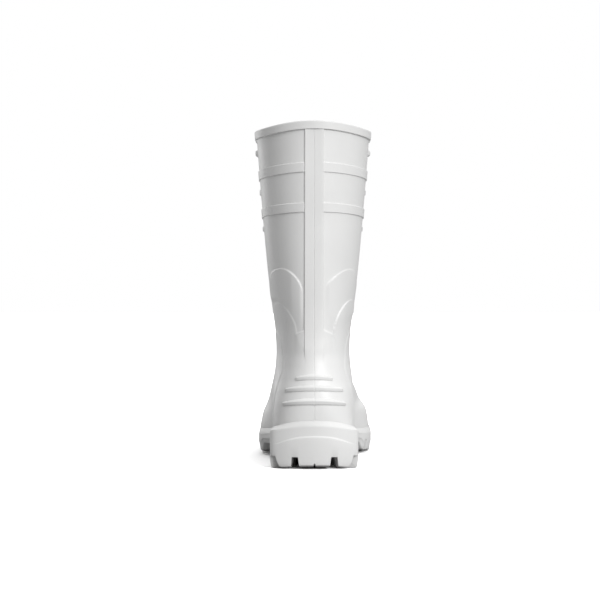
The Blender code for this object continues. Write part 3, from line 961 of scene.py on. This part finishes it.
def insole_mesh():
    """The insole, with a rounded upper edge and a slightly hollow face."""
    seat = ring_points(FOOT_Z, PLAIN_GRID)
    outward = flat_outward(seat)

    def loop_at(inset, up):
        loop = seat - outward * (WALL + INSOLE_PLAY + inset)
        loop[:, 2] = DECK_Z.at(loop[:, 1]) + FIT_GAP + up
        return loop

    loops = [loop_at(INSOLE_FOOT_IN, 0.0), loop_at(0.0, INSOLE_FOOT_UP)]
    for k in range(INSOLE_EDGE_STEPS + 1):
        turn = math.pi / 2 * k / INSOLE_EDGE_STEPS
        inset = INSOLE_EDGE * (1 - math.cos(turn))
        loops.append(loop_at(inset, INSOLE_THICK - INSOLE_EDGE * (1 - math.sin(turn))))
    edge = loops[-1]
    size = len(edge)
    middle = (edge + edge[(-np.arange(size)) % size]) / 2
    for share in INSOLE_SHARES:
        loop = mix(edge, middle, share)
        loop[:, 2] = edge[:, 2] - INSOLE_DISH * ease(2 * share)
        loops.append(loop)
    return ring_mesh("boot_insole", loops, closed=False)


def lining_mesh():
    """The knitted lining, bonded to the inside of the leg and foot."""
    rows = wall(spread(LINING_ROWS), PLAIN_GRID)
    face = rows.points - rows.outward * (WALL + LINING_THICK)
    back = rows.points - rows.outward * (WALL - LINING_BOND)
    return ring_mesh("boot_lining", list(back) + list(face[::-1]), closed=True)


class Finish(NamedTuple):
    """A surface: its two close colours, its roughness and its grain."""
    dark: tuple
    light: tuple
    patch_scale: float
    smooth: float
    rough: float
    grain_scale: float
    grain_depth: float


WHITE_PVC = Finish((0.73, 0.73, 0.725), (0.77, 0.77, 0.765), 14, 0.39, 0.47, 1700, 0.00005)
SOLE_PVC = Finish((0.69, 0.69, 0.685), (0.735, 0.735, 0.73), 18, 0.42, 0.54, 1300, 0.00008)
FELT = Finish((0.50, 0.50, 0.48), (0.66, 0.66, 0.64), 900, 0.85, 0.98, 2200, 0.0004)
KNIT = Finish((0.66, 0.66, 0.64), (0.80, 0.80, 0.78), 30, 0.80, 0.95, 900, 0.0003)
FLOOR = Finish((0.90, 0.90, 0.90), (0.93, 0.93, 0.93), 3, 0.70, 0.85, 300, 0.00005)
PATCH_DETAIL = 4.0
PATCH_LOW = 0.3         # where the patches' noise is at its darkest and smoothest
PATCH_HIGH = 0.7
GRAIN_DETAIL = 3.0
WALE_SCALE = 260.0
WALE_WOBBLE = 1.5
WALE_DEPTH = 0.0004
WALE_STRENGTH = 0.8


def add_node(tree, kind, values=()):
    """A new node, with values for its inputs as pairs of name and value."""
    node = tree.nodes.new(kind)
    for name, value in values:
        node.inputs[name].default_value = value
    return node


def make_material(name, finish, knit=False):
    material = bpy.data.materials.new(name)
    material.use_nodes = True
    tree = material.node_tree
    link = tree.links.new
    shader = tree.nodes["Principled BSDF"]
    place = add_node(tree, "ShaderNodeTexCoord")

    patches = add_node(tree, "ShaderNodeTexNoise", (("Scale", finish.patch_scale), ("Detail", PATCH_DETAIL)))
    link(place.outputs["Object"], patches.inputs["Vector"])
    colours = add_node(tree, "ShaderNodeValToRGB")
    dark, light = colours.color_ramp.elements
    dark.position = PATCH_LOW
    dark.color = (*finish.dark, 1.0)
    light.position = PATCH_HIGH
    light.color = (*finish.light, 1.0)
    link(patches.outputs["Fac"], colours.inputs["Fac"])
    link(colours.outputs["Color"], shader.inputs["Base Color"])

    gloss = add_node(tree, "ShaderNodeMapRange", (("From Min", PATCH_LOW), ("From Max", PATCH_HIGH),
                                                  ("To Min", finish.smooth), ("To Max", finish.rough)))
    link(patches.outputs["Fac"], gloss.inputs["Value"])
    link(gloss.outputs["Result"], shader.inputs["Roughness"])

    grain = add_node(tree, "ShaderNodeTexNoise", (("Scale", finish.grain_scale), ("Detail", GRAIN_DETAIL)))
    link(place.outputs["Object"], grain.inputs["Vector"])
    bump = add_node(tree, "ShaderNodeBump", (("Distance", finish.grain_depth), ("Strength", 1.0)))
    link(grain.outputs["Fac"], bump.inputs["Height"])
    if knit:
        wales = add_node(tree, "ShaderNodeTexWave", (("Scale", WALE_SCALE), ("Distortion", WALE_WOBBLE)))
        wales.bands_direction = "Z"
        link(place.outputs["Object"], wales.inputs["Vector"])
        ridges = add_node(tree, "ShaderNodeBump", (("Distance", WALE_DEPTH), ("Strength", WALE_STRENGTH)))
        link(wales.outputs["Fac"], ridges.inputs["Height"])
        link(bump.outputs["Normal"], ridges.inputs["Normal"])
        bump = ridges
    link(bump.outputs["Normal"], shader.inputs["Normal"])
    return material


def add_piece(name, mesh, shift, material, node):
    mesh.transform(shift)
    mesh.materials.clear()
    mesh.materials.append(material)
    mesh.shade_smooth()
    mesh.set_sharp_from_angle(angle=SMOOTH_ANGLE)
    piece = add_object(name, mesh)
    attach(piece, "root")
    if node:
        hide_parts(node)
    return piece


class Sun(NamedTuple):
    """A soft light from far off. Azimuth 0 is behind the camera, and it grows towards the picture's right."""
    name: str
    azimuth: float
    elevation: float
    strength: float
    softness: float     # degrees of the sky that it fills


SUNS = (
    Sun("key", 33, 26, 2.25, 28),
    Sun("overhead", 40, 80, 0.96, 110),
    Sun("left_edge", -146, 8, 0.5, 30),
    Sun("front", 172, 32, 0.6, 60),
)


def add_sun(sun):
    light = bpy.data.lights.new(sun.name, "SUN")
    light.energy = sun.strength
    light.angle = math.radians(sun.softness)
    azimuth = math.radians(sun.azimuth)
    elevation = math.radians(sun.elevation)
    level = math.cos(elevation)
    toward = Vector((math.sin(azimuth) * level, -math.cos(azimuth) * level, math.sin(elevation)))
    add_object(sun.name, light).rotation_euler = toward.to_track_quat("Z", "Y").to_euler()


def seen_or_not(tree, unseen, seen, output):
    """One shader for what the camera sees directly, and another for the light that falls on the boot."""
    rays = add_node(tree, "ShaderNodeLightPath")
    both = add_node(tree, "ShaderNodeMixShader")
    tree.links.new(rays.outputs["Is Camera Ray"], both.inputs["Fac"])
    tree.links.new(unseen, both.inputs[1])
    tree.links.new(seen, both.inputs[2])
    tree.links.new(both.outputs["Shader"], output.inputs["Surface"])


def grey(value):
    return (value, value, value, 1.0)


def floor_material():
    """A white floor that throws little light back up at the boot."""
    material = make_material("floor", FLOOR)
    tree = material.node_tree
    link = tree.links.new
    dim = add_node(tree, "ShaderNodeBsdfDiffuse", (("Color", grey(FLOOR_BOUNCE)),))
    lift = add_node(tree, "ShaderNodeBsdfDiffuse", (("Color", grey(FLOOR_LIFT)),))
    white = add_node(tree, "ShaderNodeAddShader")
    link(tree.nodes["Principled BSDF"].outputs["BSDF"], white.inputs[0])
    link(lift.outputs["BSDF"], white.inputs[1])
    seen_or_not(tree, dim.outputs["BSDF"], white.outputs["Shader"], tree.nodes["Material Output"])
    return material


def add_floor():
    corners = [(x * FLOOR_HALF, y * FLOOR_HALF, 0) for x, y in ((-1, -1), (1, -1), (1, 1), (-1, 1))]
    mesh = bpy.data.meshes.new("floor")
    mesh.from_pydata(corners, [], [(0, 1, 2, 3)])
    mesh.materials.append(floor_material())
    add_object("floor", mesh)


def add_world():
    """Pale surroundings: white to look at, dimmer as a light so that the boot keeps its shading."""
    world = bpy.data.worlds.new("studio")
    bpy.context.scene.world = world
    world.use_nodes = True
    tree = world.node_tree
    link = tree.links.new
    ambient = tree.nodes["Background"]
    ambient.inputs["Color"].default_value = (1, 1, 1, 1)
    place = add_node(tree, "ShaderNodeTexCoord")
    axes = add_node(tree, "ShaderNodeSeparateXYZ")
    link(place.outputs["Generated"], axes.inputs["Vector"])
    height = add_node(tree, "ShaderNodeMapRange", (("To Min", SKY_LOW), ("To Max", SKY_HIGH)))
    link(axes.outputs["Z"], height.inputs["Value"])
    link(height.outputs["Result"], ambient.inputs["Strength"])
    white = add_node(tree, "ShaderNodeBackground", (("Color", (1, 1, 1, 1)), ("Strength", 1.0)))
    seen_or_not(tree, ambient.outputs["Background"], white.outputs["Background"], tree.nodes["World Output"])


def add_camera(shift):
    view = Vector((math.sin(CAMERA_YAW), math.cos(CAMERA_YAW), 0))
    right = Vector((math.cos(CAMERA_YAW), -math.sin(CAMERA_YAW), 0))
    place = Vector((0, CAMERA_AIM_Y, 0)) - view * CAMERA_AWAY - right * CAMERA_ASIDE
    place.z = CAMERA_UP
    data = bpy.data.cameras.new("camera")
    data.lens = LENS
    data.sensor_width = SENSOR
    data.clip_end = CAMERA_REACH
    camera = add_object("camera", data)
    camera.location = shift @ (place * MM)
    camera.rotation_euler = (math.pi / 2 + CAMERA_PITCH, 0, -CAMERA_YAW)
    bpy.context.scene.camera = camera


def main():
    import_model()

    shift = Matrix.Translation(-Vector(ORIGIN) * MM)
    add_piece("boot_upper", upper_mesh(), shift, make_material("white_pvc", WHITE_PVC), "upper")
    add_piece("boot_outsole", sole_mesh(), shift, make_material("sole_pvc", SOLE_PVC), "outsole")
    add_piece("boot_insole", insole_mesh(), shift, make_material("insole_felt", FELT), "insole")
    knit = make_material("lining_knit", KNIT, knit=True)
    add_piece("boot_lining", lining_mesh(), shift, knit, "")

    add_floor()
    add_world()
    for sun in SUNS:
        add_sun(sun)
    add_camera(shift)
    bpy.context.scene.view_settings.view_transform = "Standard"


main()
